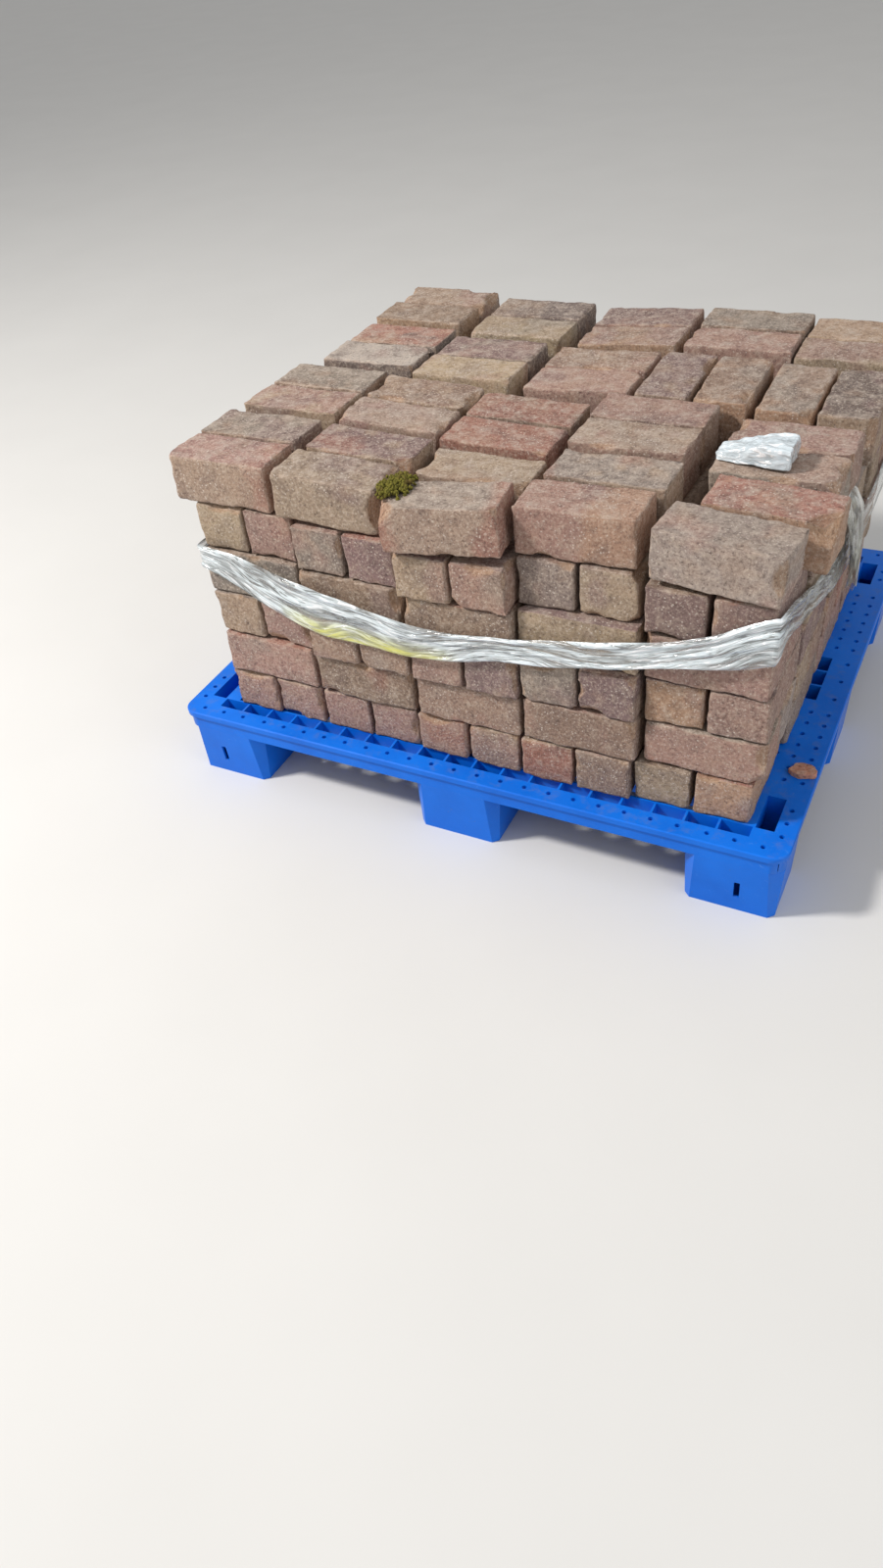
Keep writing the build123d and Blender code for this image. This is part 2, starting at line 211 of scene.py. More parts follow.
class Nodes:
    """Short calls that build one material's node tree."""

    def __init__(self, name):
        self.material = bpy.data.materials.new(name)
        self.material.use_nodes = True
        self.tree = self.material.node_tree
        self.tree.nodes.clear()
        self.shader = self.tree.nodes.new("ShaderNodeBsdfPrincipled")
        self.output = self.tree.nodes.new("ShaderNodeOutputMaterial")
        self.tree.links.new(self.shader.outputs[0], self.output.inputs[0])

    def put(self, socket, value):
        """Links a socket to the input, or sets the input's own value."""
        if is_socket(value):
            self.tree.links.new(value, socket)
        else:
            socket.default_value = value

    def attribute(self, name, output):
        node = self.tree.nodes.new("ShaderNodeAttribute")
        node.attribute_name = name
        return node.outputs[output]

    def place(self):
        """Where a point is on its own object."""
        return self.tree.nodes.new("ShaderNodeTexCoord").outputs["Object"]

    def noise(self, vector, scale, detail=4.0, roughness=0.55, distortion=0.0):
        node = self.tree.nodes.new("ShaderNodeTexNoise")
        self.put(node.inputs["Vector"], vector)
        node.inputs["Scale"].default_value = scale
        node.inputs["Detail"].default_value = detail
        node.inputs["Roughness"].default_value = roughness
        node.inputs["Distortion"].default_value = distortion
        return node.outputs["Fac"]

    def cells(self, vector, scale):
        """Distance to the nearest of many scattered points."""
        node = self.tree.nodes.new("ShaderNodeTexVoronoi")
        self.put(node.inputs["Vector"], vector)
        node.inputs["Scale"].default_value = scale
        return node.outputs["Distance"]

    def span(self, value, low, high, to_low=0.0, to_high=1.0):
        """Turns the range from low to high into the range from to_low to to_high, and clamps it."""
        node = self.tree.nodes.new("ShaderNodeMapRange")
        self.put(node.inputs["Value"], value)
        node.inputs["From Min"].default_value = low
        node.inputs["From Max"].default_value = high
        node.inputs["To Min"].default_value = to_low
        node.inputs["To Max"].default_value = to_high
        return node.outputs["Result"]

    def math(self, operation, a, b=0.0):
        node = self.tree.nodes.new("ShaderNodeMath")
        node.operation = operation
        self.put(node.inputs[0], a)
        self.put(node.inputs[1], b)
        return node.outputs[0]

    def mix(self, share, a, b):
        """Colour a, with the share of colour b over it."""
        node = self.tree.nodes.new("ShaderNodeMix")
        node.data_type = "RGBA"
        self.put(node.inputs["Factor"], share)
        self.put(node.inputs["A"], as_colour(a))
        self.put(node.inputs["B"], as_colour(b))
        return node.outputs["Result"]

    def facing_up(self):
        """How far the surface faces up: 1 on a level top."""
        geometry = self.tree.nodes.new("ShaderNodeNewGeometry")
        split = self.tree.nodes.new("ShaderNodeSeparateXYZ")
        self.tree.links.new(geometry.outputs["Normal"], split.inputs[0])
        return split.outputs["Z"]

    def bump(self, height, distance, strength=1.0):
        node = self.tree.nodes.new("ShaderNodeBump")
        self.put(node.inputs["Height"], height)
        node.inputs["Distance"].default_value = distance
        node.inputs["Strength"].default_value = strength
        return node.outputs["Normal"]

    def finish(self, colour, roughness, normal=None, **values):
        """Feeds the shader and gives the material."""
        self.put(self.shader.inputs["Base Color"], as_colour(colour))
        self.put(self.shader.inputs["Roughness"], roughness)
        if normal:
            self.put(self.shader.inputs["Normal"], normal)
        for name, value in values.items():
            self.put(self.shader.inputs[name.replace("_", " ")], value)
        return self.material


def clay_material():
    """Weathered fired clay: mottled body, sand grains, pits, pale worn edges that are partly painted
    highlight, fresh chips and dust.
    """
    n = Nodes("weathered_clay")
    spot = n.attribute("clay_place", "Vector")
    tone = n.attribute("clay_tone", "Color")
    worn = n.attribute("clay_worn", "Fac")
    fresh = n.attribute("clay_fresh", "Fac")
    blotch = n.noise(spot, 15.0, 3.0, 0.6, 0.5)
    sand = n.noise(spot, 190.0, 5.0, 0.8)
    mottle = n.noise(spot, 48.0, 4.0, 0.7)
    colour = n.mix(n.span(blotch, 0.50, 0.72, 0.0, 0.50), tone, SMOKE)
    colour = n.mix(n.span(blotch, 0.46, 0.30, 0.0, 0.35), colour, BUFF)
    colour = n.mix(n.span(mottle, 0.50, 0.70, 0.0, 0.50), colour, LIME)
    colour = n.mix(n.span(mottle, 0.47, 0.28, 0.0, 0.45), colour, SOOT)
    colour = n.mix(n.span(fresh, 0.0, 1.0, 0.0, 0.60), colour, BROKEN_CLAY)
    # Pale edges: rubbed wear, and painted highlight where the edges catch light
    rubbed_and_lit = n.math("MULTIPLY", worn, n.span(mottle, 0.36, 0.58))
    colour = n.mix(n.span(rubbed_and_lit, 0.0, 1.0, 0.0, 0.66), colour, RUBBED_AND_LIT_CLAY)
    colour = n.mix(n.span(sand, 0.52, 0.66, 0.0, 0.62), colour, PALE_SAND)
    colour = n.mix(n.span(sand, 0.47, 0.34, 0.0, 0.72), colour, DARK_SAND)
    settled = n.math("MULTIPLY", n.span(n.facing_up(), 0.5, 0.95), n.span(mottle, 0.44, 0.66))
    colour = n.mix(n.span(settled, 0.0, 1.0, 0.0, 0.36), colour, DUST)
    grains = n.span(n.cells(spot, 150.0), 0.26, 0.10)
    grains = n.math("MULTIPLY", grains, n.span(blotch, 0.40, 0.60, 0.25, 1.0))
    colour = n.mix(n.math("MULTIPLY", grains, 0.75), colour, PALE_GRAIN)
    height = n.math("ADD", n.math("MULTIPLY", mottle, 0.9), sand)
    normal = n.bump(height, CLAY_RELIEF)
    return n.finish(colour, n.span(sand, 0.3, 0.7, 0.97, 0.80), normal, Specular_IOR_Level=0.25)


# Moulded plastic, dark and light, where it is scuffed, and the dust and specks of dirt on it
DEEP_BLUE = (0.002, 0.130, 0.65)
CLEAR_BLUE = (0.004, 0.170, 0.78)
SCUFFED_BLUE = (0.09, 0.28, 0.78)
PLASTIC_DUST = (0.17, 0.18, 0.22)
PLASTIC_DIRT = (0.16, 0.12, 0.09)


def plastic_material():
    """Moulded blue plastic: a faint grain, pale scuffs and a little dirt on what faces up."""
    n = Nodes("blue_moulding")
    spot = n.place()
    cloud = n.noise(spot, 9.0, 4.0, 0.6)
    grain = n.noise(spot, 420.0, 2.0, 0.5)
    scratch = n.noise(spot, 60.0, 8.0, 0.75, 1.5)
    colour = n.mix(n.span(cloud, 0.3, 0.7), DEEP_BLUE, CLEAR_BLUE)
    colour = n.mix(n.span(scratch, 0.60, 0.70, 0.0, 0.45), colour, SCUFFED_BLUE)
    settled = n.span(n.noise(spot, 34.0, 6.0, 0.7), 0.52, 0.78)
    dusty = n.math("MULTIPLY", n.span(n.facing_up(), 0.6, 1.0), settled)
    colour = n.mix(n.span(dusty, 0.0, 1.0, 0.0, 0.42), colour, PLASTIC_DUST)
    specks = n.span(n.cells(spot, 130.0), 0.05, 0.12, 1.0, 0.0)
    specks = n.math("MULTIPLY", specks, n.span(n.noise(spot, 21.0), 0.5, 0.62))
    colour = n.mix(n.math("MULTIPLY", specks, 0.7), colour, PLASTIC_DIRT)
    rough = n.math("ADD", n.span(cloud, 0.3, 0.7, 0.30, 0.42), n.math("MULTIPLY", dusty, 0.3))
    normal = n.bump(grain, PLASTIC_RELIEF, 0.5)
    return n.finish(colour, rough, normal, Specular_IOR_Level=0.22)


# Film where it is one layer, painted darker there as shade on the stack's right side; painted shade in a
# deep crease; where it is stained; and where it shines
THIN_SHADED_FILM = (0.30, 0.30, 0.25)
CREASE_SHADE = (0.105, 0.105, 0.100)
STAINED_FILM = (0.62, 0.60, 0.09)
SHINING_FILM = (0.97, 0.98, 1.0)


def film_material(name, pale, dark, clearness, crease_shade_strength):
    """Stretch film in many layers: silvery, see-through where it is thin and there painted darker as shade,
    with bright creases and with dark creases of painted shade.
    """
    n = Nodes(name)
    fold = n.attribute("film_fold", "Fac")
    stain = n.attribute("film_stain", "Fac")
    thin_and_shaded = n.attribute("film_thin_and_shaded", "Fac")
    run = n.attribute("film_run", "Vector")
    streak = n.noise(run, 0.72, 2.0, 0.42, 1.1)
    dash = n.noise(run, 1.9, 2.5, 0.50, 1.3)
    broad = n.noise(run, 0.30, 2.0, 0.5)
    glint = n.math("MULTIPLY", n.span(dash, 0.56, 0.62), n.span(broad, 0.40, 0.56, 0.35, 1.0))
    crease = n.math("MULTIPLY", n.span(dash, 0.46, 0.39), n.span(broad, 0.62, 0.46, 0.35, 1.0))
    colour = n.mix(n.span(streak, 0.34, 0.62), dark, pale)
    # Thin film on the right side, also painted darker there as shade
    colour = n.mix(n.math("MULTIPLY", thin_and_shaded, 0.65), colour, THIN_SHADED_FILM)
    # Painted shade: the creases darkened towards near-black
    colour = n.mix(n.math("MULTIPLY", crease, crease_shade_strength), colour, CREASE_SHADE)
    stained = n.math("MULTIPLY", stain, n.span(streak, 0.30, 0.55, 0.50, 0.92))
    colour = n.mix(stained, colour, STAINED_FILM)
    glare = n.math("SUBTRACT", 0.95, n.math("MULTIPLY", n.math("MAXIMUM", stain, thin_and_shaded), 0.6))
    colour = n.mix(n.math("MULTIPLY", glint, glare), colour, SHINING_FILM)
    cover = n.span(streak, 0.34, 0.56, clearness, 0.96)
    cover = n.math("SUBTRACT", cover, n.math("MULTIPLY", thin_and_shaded, 0.22))
    cover = n.math("MAXIMUM", cover, n.math("MULTIPLY", glint, 0.97))
    cover = n.math("MAXIMUM", cover, n.math("MULTIPLY", stain, 0.80))
    cover = n.math("MINIMUM", n.math("ADD", cover, n.math("MULTIPLY", fold, 0.18)), 1.0)
    height = n.math("ADD", streak, n.math("MULTIPLY", dash, 0.55))
    normal = n.bump(height, FILM_RELIEF)
    n.put(n.shader.inputs["Alpha"], cover)
    gloss = n.span(dash, 0.35, 0.65, 0.10, 0.20)
    return n.finish(colour, gloss, normal, Specular_IOR_Level=0.9, Coat_Weight=0.7)


# Moss between its tufts, at their tips and where it is dead, and the floor
DEEP_MOSS = (0.050, 0.047, 0.009)
TIP_MOSS = (0.235, 0.210, 0.036)
DEAD_MOSS = (0.15, 0.095, 0.035)
FLOOR_SHADES = ((0.655, 0.648, 0.632), (0.695, 0.688, 0.672))


def moss_material():
    """Moss gone dry: dark between the tufts, with dead brown patches."""
    n = Nodes("dry_moss")
    spot = n.place()
    tuft = n.noise(spot, 330.0, 3.0, 0.6)
    patch = n.noise(spot, 60.0, 3.0, 0.6)
    colour = n.mix(n.span(tuft, 0.35, 0.65), DEEP_MOSS, TIP_MOSS)
    colour = n.mix(n.span(patch, 0.52, 0.66, 0.0, 0.7), colour, DEAD_MOSS)
    return n.finish(colour, 0.95, n.bump(tuft, MOSS_RELIEF), Specular_IOR_Level=0.2)


def floor_material():
    """A plain pale floor."""
    n = Nodes("pale_floor")
    cloud = n.noise(n.place(), 3.0, 3.0, 0.5)
    return n.finish(n.mix(cloud, *FLOOR_SHADES), 0.9)


# Bricks

def loose_parts(node):
    """The corner points of each solid in a CAD node, as one array a solid."""
    mesh = node.data
    points = np.array([v.co for v in mesh.vertices])
    keys = {}
    merged = np.empty(len(points), int)
    for i, point in enumerate(np.round(points * 1e5).astype(int)):
        merged[i] = keys.setdefault(tuple(point), i)
    root = list(range(len(points)))

    def top(i):
        while root[i] != i:
            root[i] = root[root[i]]
            i = root[i]
        return i

    for face in mesh.polygons:
        first = top(merged[face.vertices[0]])
        for other in face.vertices[1:]:
            root[top(merged[other])] = first
    groups = {}
    for i in set(merged.tolist()):
        groups.setdefault(top(i), []).append(points[i])
    return [np.array(group) for group in groups.values()]


class Brick:
    """One brick of the frame: its middle, its own axes as rows (long, wide, up) and its half size."""

    def __init__(self, corners):
        self.middle = corners.mean(0)
        _, vectors = np.linalg.eigh(np.cov((corners - self.middle).T))
        long_axis = vectors[:, 2]
        up_axis = vectors[:, np.argmax(np.abs(vectors[2]))]
        if up_axis[2] < 0:
            up_axis = -up_axis
        if long_axis[0] + long_axis[1] < 0:
            long_axis = -long_axis
        wide_axis = np.cross(up_axis, long_axis)
        self.axes = np.array([long_axis, wide_axis, up_axis])
        self.half = np.abs((corners - self.middle) @ self.axes.T).max(0)
        self.plain = len(corners) <= PLAIN_CORNERS
        self.stretcher = abs(long_axis[0]) > abs(long_axis[1])


def bricks_of(node):
    """The ten bricks of a strip as (column, side, brick), the front or left brick of each pair first."""
    found = sorted((Brick(part) for part in loose_parts(node)), key=lambda brick: brick.middle[0])
    ordered = []
    for column in range(len(found) // 2):
        pair = found[2 * column:2 * column + 2]
        if pair[0].stretcher:
            pair.sort(key=lambda brick: brick.middle[1])
        ordered += [(column, side, brick) for side, brick in enumerate(pair)]
    return ordered


def shades_of(course, row, column, side):
    """Names of the shades of a brick's top and sides."""
    if course == COURSES:
        tower = TOP_SHADES[row - 1].split(", ")[column]
        top, body = tower.split(" ")[side].split("/")
        return top, body
    pick = seeded(course, row, column, side, 11).integers(len(HIDDEN_SHADES))
    if row == 1:
        tower = FRONT_SHADES[COURSES - 1 - course].split(", ")[column]
        return HIDDEN_SHADES[pick], tower.split(" ")[side]
    return HIDDEN_SHADES[pick], HIDDEN_SHADES[pick]


def stations(half, step, radius):
    """Places of the mesh lines along one direction: close near the two edges, then even."""
    near = [0.0, 0.4 * radius, radius, 1.7 * radius]
    inner = half - near[-1]
    count = max(1, round(2 * inner / step))
    middle = np.linspace(-inner, inner, count + 1)
    ends = [-half + place for place in near[:-1]]
    return np.array(ends + middle.tolist() + [-place for place in reversed(ends)])


# Lattices that are made already, by their counts
lattices = {}


def lattice(counts):
    """Faces and lattice corners of the skin of a block with that many mesh cells each way."""
    if counts in lattices:
        return lattices[counts]
    index = {}
    faces = []

    def corner(i, j, k):
        return index.setdefault((i, j, k), len(index))

    for axis in range(3):
        u, v = (axis + 1) % 3, (axis + 2) % 3
        for end in (0, counts[axis]):
            for a in range(counts[u]):
                for b in range(counts[v]):
                    quad = []
                    for da, db in ((0, 0), (1, 0), (1, 1), (0, 1)):
                        place = [0, 0, 0]
                        place[axis], place[u], place[v] = end, a + da, b + db
                        quad.append(corner(*place))
                    faces.append(quad if end else quad[::-1])
    lattices[counts] = np.array(list(index)), np.array(faces)
    return lattices[counts]


def chips_of(brick, draw, worn):
    """Places where an edge or corner has broken off: middle, outward direction, reach and depth."""
    chips = []
    for _ in range(draw.integers(*CHIP_COUNT) if worn else 0):
        signs = draw.choice([-1.0, 1.0], 3)
        along = draw.integers(3)
        direction = signs.copy()
        middle = signs * brick.half
        if draw.random() < CHIPS_ON_EDGE:
            middle[along] *= draw.uniform(-0.9, 0.9)
            direction[along] = 0.0
        direction *= draw.uniform(0.5, 1.0, 3)
        reach = CHIP_REACH[0] + CHIP_REACH[1] * draw.random() ** 2.0
        depth = reach * draw.uniform(*CHIP_DEPTH)
        chips.append((middle, direction / np.linalg.norm(direction), reach, depth))
    return chips


def brick_points(brick, step, draw, extra_chips, offset):
    """Skin of one worn brick: points, faces, place in the clay, wear, fresh breaks and outward direction."""
    if brick.plain:
        lines = [np.array([-half, half]) for half in brick.half]
    else:
        lines = [stations(half, step, WORN_RADIUS) for half in brick.half]
    corners, faces = lattice(tuple(len(line) - 1 for line in lines))
    flat = np.stack([lines[axis][corners[:, axis]] for axis in range(3)], 1)
    local = flat + offset
    round_off = WORN_RADIUS * (1.0 + 0.90 * layered(local, 0.045, 2) + 0.55 * layered(local + 9, 0.013, 2))
    round_off = np.clip(round_off, *WORN_LIMITS)[:, None]
    core = np.clip(flat, -(brick.half - round_off), brick.half - round_off)
    outward = flat - core
    reach = np.linalg.norm(outward, axis=1, keepdims=True)
    outward /= np.maximum(reach, 1e-9)
    skin = core + outward * round_off
    worn = np.clip((reach[:, 0] - round_off[:, 0]) / (EDGE_SHARE * round_off[:, 0]), 0, 1)
    dent = sum(depth * (1 + layered(local, width, 2)) for depth, width in (WIDE_DENT, NARROW_DENT))
    dent += WORN_DENT[0] * worn * np.clip(layered(local, WORN_DENT[1], 2), 0, 1)
    skin -= outward * dent[:, None]
    fresh = np.zeros(len(skin))
    rough = layered(local, 0.009, 2)
    for middle, direction, size, depth in chips_of(brick, draw, not brick.plain) + extra_chips:
        aside = skin - middle
        height = aside @ direction
        spread = np.linalg.norm(aside - height[:, None] * direction, axis=1)
        cut = height + depth * (1 - (spread / size) ** 3) + BREAK_ROUGHNESS * rough
        hit = (cut > 0) & (spread < BREAK_SPREAD * size)
        skin[hit] -= cut[hit, None] * direction
        fresh = np.maximum(fresh, np.where(hit, np.clip(cut / FRESH_CUT, 0, 1), 0))
    return skin @ brick.axes + brick.middle, faces, local, worn, fresh, outward


# Breaks that stand out: (course, row, column, side) gives corner signs, reach and depth in metres
BROKEN = {
    (6, 1, 4, 1): [((1, -1, 1), 0.055, 0.034)],
    (6, 3, 3, 1): [((1, -1, 1), 0.030, 0.015)],
    (6, 3, 4, 0): [((-1, -1, 1), 0.036, 0.020)],
    (6, 1, 2, 0): [((-1, -1, 1), 0.090, 0.023)],
    (6, 1, 2, 1): [((1, -1, 1), 0.045, 0.020), ((0.2, -1, 1), 0.040, 0.012)],
    (6, 1, 1, 1): [((1, -1, 1), 0.034, 0.018)],
    (6, 2, 4, 0): [((1, -1, 1), 0.038, 0.017), ((1, 0.2, 1), 0.030, 0.012)],
    (6, 4, 0, 1): [((1, -1, 1), 0.040, 0.020)],
    (5, 1, 0, 0): [((-1, 1, -1), 0.040, 0.024)],
    (5, 1, 3, 1): [((-1, -1, -1), 0.026, 0.012)],
    (3, 1, 3, 1): [((-1, -1, 1), 0.028, 0.014)],
    (2, 1, 4, 0): [((1, -1, -1), 0.040, 0.018)],
}


def big_chips(key, brick):
    """The breaks of one brick that stand out, in the brick's own axes."""
    chips = []
    for signs, reach, depth in BROKEN.get(key, []):
        direction = np.array(signs, float)
        corner = np.sign(direction) * brick.half
        corner = np.where(np.abs(direction) < 1, direction * brick.half, corner)
        direction = np.where(np.abs(direction) < 1, 0, direction)
        if not brick.stretcher:
            corner = corner[[1, 0, 2]] / brick.half[[1, 0, 2]] * brick.half
            direction = direction[[1, 0, 2]]
        chips.append((corner, direction / np.linalg.norm(direction), reach, depth))
    return chips


def tone_of(course, row, column, side, brick, local, outward, draw):
    """Colour of each point: the top shade above, the body shade on the sides, a ragged line between."""
    top, body = (np.array(CLAY[name]) for name in shades_of(course, row, column, side))
    drift = draw.uniform(0.90, 1.10) + draw.uniform(-0.03, 0.03, 3)
    share = np.clip((outward[:, 2] - 0.45 + 0.5 * layered(local, 0.03, 2)) * 2.2, 0, 1)[:, None]
    colour = top * share + body * (1 - share)
    other = np.array(CLAY[HIDDEN_SHADES[draw.integers(len(HIDDEN_SHADES))]])
    patch = np.clip(layered(local, 0.075, 3) * 1.5 - 0.25, 0, 0.6)[:, None]
    colour = (colour * (1 - patch) + other * patch) * drift
    if (course, row, column, side) in END_SHADES:
        shade, end, start, strength = END_SHADES[course, row, column, side]
        along = (local[:, 0] - local[:, 0].mean()) / brick.half[0]
        along = along * end if end else np.abs(along)
        burnt = np.clip((along - start + 0.25 * layered(local, 0.05, 2)) * 3.0, 0, strength)[:, None]
        colour = colour * (1 - burnt) + np.array(CLAY[shade]) * burnt
    return np.hstack([np.clip(colour, 0, 1), np.ones((len(colour), 1))])


def make_strip(course, row, material):
    """One row of ten bricks of one course, as one piece."""
    name = f"bricks_course_{course}_row_{row}"
    parts = ("points", "faces", "clay_tone", "clay_place", "clay_worn", "clay_fresh")
    gathered = {part: [] for part in parts}
    start = 0
    for column, side, brick in bricks_of(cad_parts[name]):
        draw = seeded(course, row, column, side)
        offset = draw.uniform(0, 40, 3)
        close = row == 1 or (course == COURSES and row == 2)
        shown = course == COURSES or (column == LAST_COLUMN and not brick.plain)
        step = FINE_STEP if close else MIDDLE_STEP if shown else COARSE_STEP
        chips = big_chips((course, row, column, side), brick)
        points, faces, local, worn, fresh, outward = brick_points(brick, step, draw, chips, offset)
        gathered["points"].append(points)
        gathered["faces"].append(faces + start)
        gathered["clay_tone"].append(tone_of(course, row, column, side, brick, local, outward, draw))
        gathered["clay_place"].append(local)
        gathered["clay_worn"].append(worn)
        gathered["clay_fresh"].append(fresh)
        start += len(points)
    joined = {key: np.concatenate(values) for key, values in gathered.items()}
    points = joined.pop("points")
    faces = joined.pop("faces")
    piece = new_object(f"worn_{name}", points, faces, joined, material)
    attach(piece, "root")
    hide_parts(name)


clay = clay_material()
for course in range(1, COURSES + 1):
    for row in range(1, ROWS + 1):
        make_strip(course, row, clay)


# Pallet

DRAIN_RADIUS = 0.0045
DRAIN_DEPTH = 0.03
DRAIN_SIDES = 14
# Drain holes of the side plates: insets of their rows, the first hole from the middle, pitch and number
PLATE_ROWS = (0.022, 0.053, 0.082)
PLATE_NEAR = 0.108
PLATE_PITCH = 0.033
PLATE_DRAINS = 7
# Drain holes over the middle feet, and along the front and back rims to each side of the middle one
FOOT_DRAINS = (-0.058, 0.0, 0.058)
RIM_PITCH = 0.046
RIM_DRAINS = 9
# Welded points, flat facets that are joined, and the softened edges
WELD_DISTANCE = 1e-5
FLAT_ANGLE = math.radians(1.0)
SOFT_EDGE = 0.0010
SOFT_EDGE_ANGLE = math.radians(40)


def extra_drains():
    """Middles of the small drain holes in the side plates, over the middle feet and along the rims."""
    low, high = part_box("pallet")
    places = []
    for side in (-1, 1):
        for inset in PLATE_ROWS:
            for i in range(PLATE_DRAINS):
                for end in (-1, 1):
                    places.append((side * (high.x - inset), end * (PLATE_NEAR + i * PLATE_PITCH)))
        places += [(side * (high.x - PLATE_ROWS[0]), y) for y in FOOT_DRAINS]
        for i in range(-RIM_DRAINS, RIM_DRAINS + 1):
            places.append((i * RIM_PITCH, side * (high.y - PLATE_ROWS[0])))
    return places


def drain_cutter(top):
    """One mesh of upright pegs that cuts the drain holes."""
    points, faces = [], []
    for x, y in extra_drains():
        start = len(points)
        for z in (top - DRAIN_DEPTH, top + DRAIN_DEPTH):
            for i in range(DRAIN_SIDES):
                turn = 2 * math.pi * i / DRAIN_SIDES
                points.append((x + DRAIN_RADIUS * math.cos(turn), y + DRAIN_RADIUS * math.sin(turn), z))
        for i in range(DRAIN_SIDES):
            j = (i + 1) % DRAIN_SIDES
            faces.append((start + i, start + j, start + j + DRAIN_SIDES, start + i + DRAIN_SIDES))
        faces.append(tuple(start + i for i in reversed(range(DRAIN_SIDES))))
        faces.append(tuple(start + i + DRAIN_SIDES for i in range(DRAIN_SIDES)))
    return new_object("drain_pegs", np.array(points), faces, {}, None, smooth=False)


def bake_modifiers(piece):
    """Replaces the piece's mesh by what its modifiers make of it."""
    evaluated = piece.evaluated_get(bpy.context.evaluated_depsgraph_get())
    mesh = bpy.data.meshes.new_from_object(evaluated)
    piece.modifiers.clear()
    piece.data = mesh


def make_pallet():
    """The moulded pallet, with all its drain holes and softened edges."""
    piece = bpy.data.objects.new("moulded_pallet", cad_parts["pallet"].data.copy())
    bpy.context.scene.collection.objects.link(piece)
    shape = bmesh.new()
    shape.from_mesh(piece.data)
    bmesh.ops.remove_doubles(shape, verts=shape.verts, dist=WELD_DISTANCE)
    bmesh.ops.dissolve_limit(shape, angle_limit=FLAT_ANGLE, verts=shape.verts, edges=shape.edges)
    shape.to_mesh(piece.data)
    shape.free()
    pegs = drain_cutter(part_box("pallet")[1].z)
    cut = piece.modifiers.new("drains", "BOOLEAN")
    cut.operation = "DIFFERENCE"
    cut.solver = "EXACT"
    cut.object = pegs
    bpy.context.view_layer.update()
    bake_modifiers(piece)
    bpy.data.objects.remove(pegs)
    bevel = piece.modifiers.new("soft_edges", "BEVEL")
    bevel.width = SOFT_EDGE
    bevel.segments = 2
    bevel.limit_method = "ANGLE"
    bevel.angle_limit = SOFT_EDGE_ANGLE
    bevel.harden_normals = True
    piece.data.materials.clear()
    piece.data.materials.append(plastic_material())
    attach(piece, "root")
    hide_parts("pallet")


make_pallet()

# Film

# How far the film's own middle lies inside the CAD band, and the mesh along and across the band
FILM_SKIN = 0.004
FILM_STEP = 0.0065
FILM_ROWS = 46
# Folds along the band: how many across it, height and seed
BAND_FOLDS = ((2.6, 0.0026, 1.0), (5.5, 0.0016, 5.0), (11.5, 0.0008, 9.0))
RIDGE_ROUNDNESS = 0.9
# How far the film stands out between folds, at its rolled edges, and how ragged those are
FILM_STAND = 0.0012
FILM_ROLL = 0.0016
FILM_RAGGED = 0.0022
FILM_EDGE_ROWS = 3
# Fold height that counts as a full fold, and how often the creases repeat along and across the band
FULL_FOLD = 0.006
CREASES_ALONG = 13.0
CREASES_ACROSS = 8.0
CREASE_SLANT = 0.34
# Edges of the band along each side of the stack: X or Y, lower edge, upper edge
BAND_FRONT = [(-0.492, 0.462, 0.506), (-0.423, 0.438, 0.503), (-0.366, 0.413, 0.492), (-0.309, 0.390, 0.479),
              (-0.250, 0.376, 0.470), (-0.151, 0.373, 0.449), (-0.073, 0.371, 0.438), (0.003, 0.378, 0.434),
              (0.113, 0.401, 0.445), (0.182, 0.405, 0.455), (0.281, 0.420, 0.472), (0.375, 0.440, 0.490),
              (0.446, 0.452, 0.512), (0.486, 0.460, 0.538), (0.536, 0.474, 0.560)]
BAND_RIGHT = [(-0.440, 0.474, 0.560), (-0.421, 0.496, 0.556), (-0.377, 0.488, 0.545), (-0.273, 0.455, 0.507),
              (-0.224, 0.438, 0.488), (-0.060, 0.382, 0.449), (0.037, 0.364, 0.444), (0.115, 0.352, 0.426),
              (0.430, 0.372, 0.428)]
BAND_BACK = [(-0.490, 0.406, 0.455), (0.050, 0.352, 0.410), (0.550, 0.372, 0.428)]
BAND_LEFT = [(-0.436, 0.462, 0.506), (0.000, 0.446, 0.494), (0.436, 0.406, 0.455)]
# Where the yellow stain begins and ends along the front, and how far up the band it goes
STAIN_REACH = (-0.33, 0.03)
STAIN_RISE = 0.38
# Where the film gets thin, and painted darker as shade, on the right side
THIN_SHADE_FROM = -0.45
THIN_SHADE_FADE = 0.12


def band_line():
    """The band's outer line in plan, anticlockwise: points a step apart, outward directions, distances."""
    corners = [v.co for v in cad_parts["film_band"].data.vertices]
    plan = sorted({(round(co.x, 4), round(co.y, 4)) for co in corners})
    line = []
    for ordered in (plan, plan[::-1]):
        chain = []
        for x, y in ordered:
            while len(chain) > 1:
                (x0, y0), (x1, y1) = chain[-2:]
                if (x1 - x0) * (y - y0) > (y1 - y0) * (x - x0):
                    break
                chain.pop()
            chain.append((x, y))
        line += chain[:-1]
    line = np.array(line + line[:1])
    walked = np.concatenate([[0.0], np.cumsum(np.linalg.norm(np.diff(line, axis=0), axis=1))])
    places = np.linspace(0, walked[-1], round(walked[-1] / FILM_STEP), endpoint=False)
    points = np.column_stack([np.interp(places, walked, line[:, axis]) for axis in (0, 1)])
    ahead = np.roll(points, -2, 0) - np.roll(points, 2, 0)
    ahead /= np.linalg.norm(ahead, axis=1, keepdims=True)
    return points, np.column_stack([ahead[:, 1], -ahead[:, 0]]), places


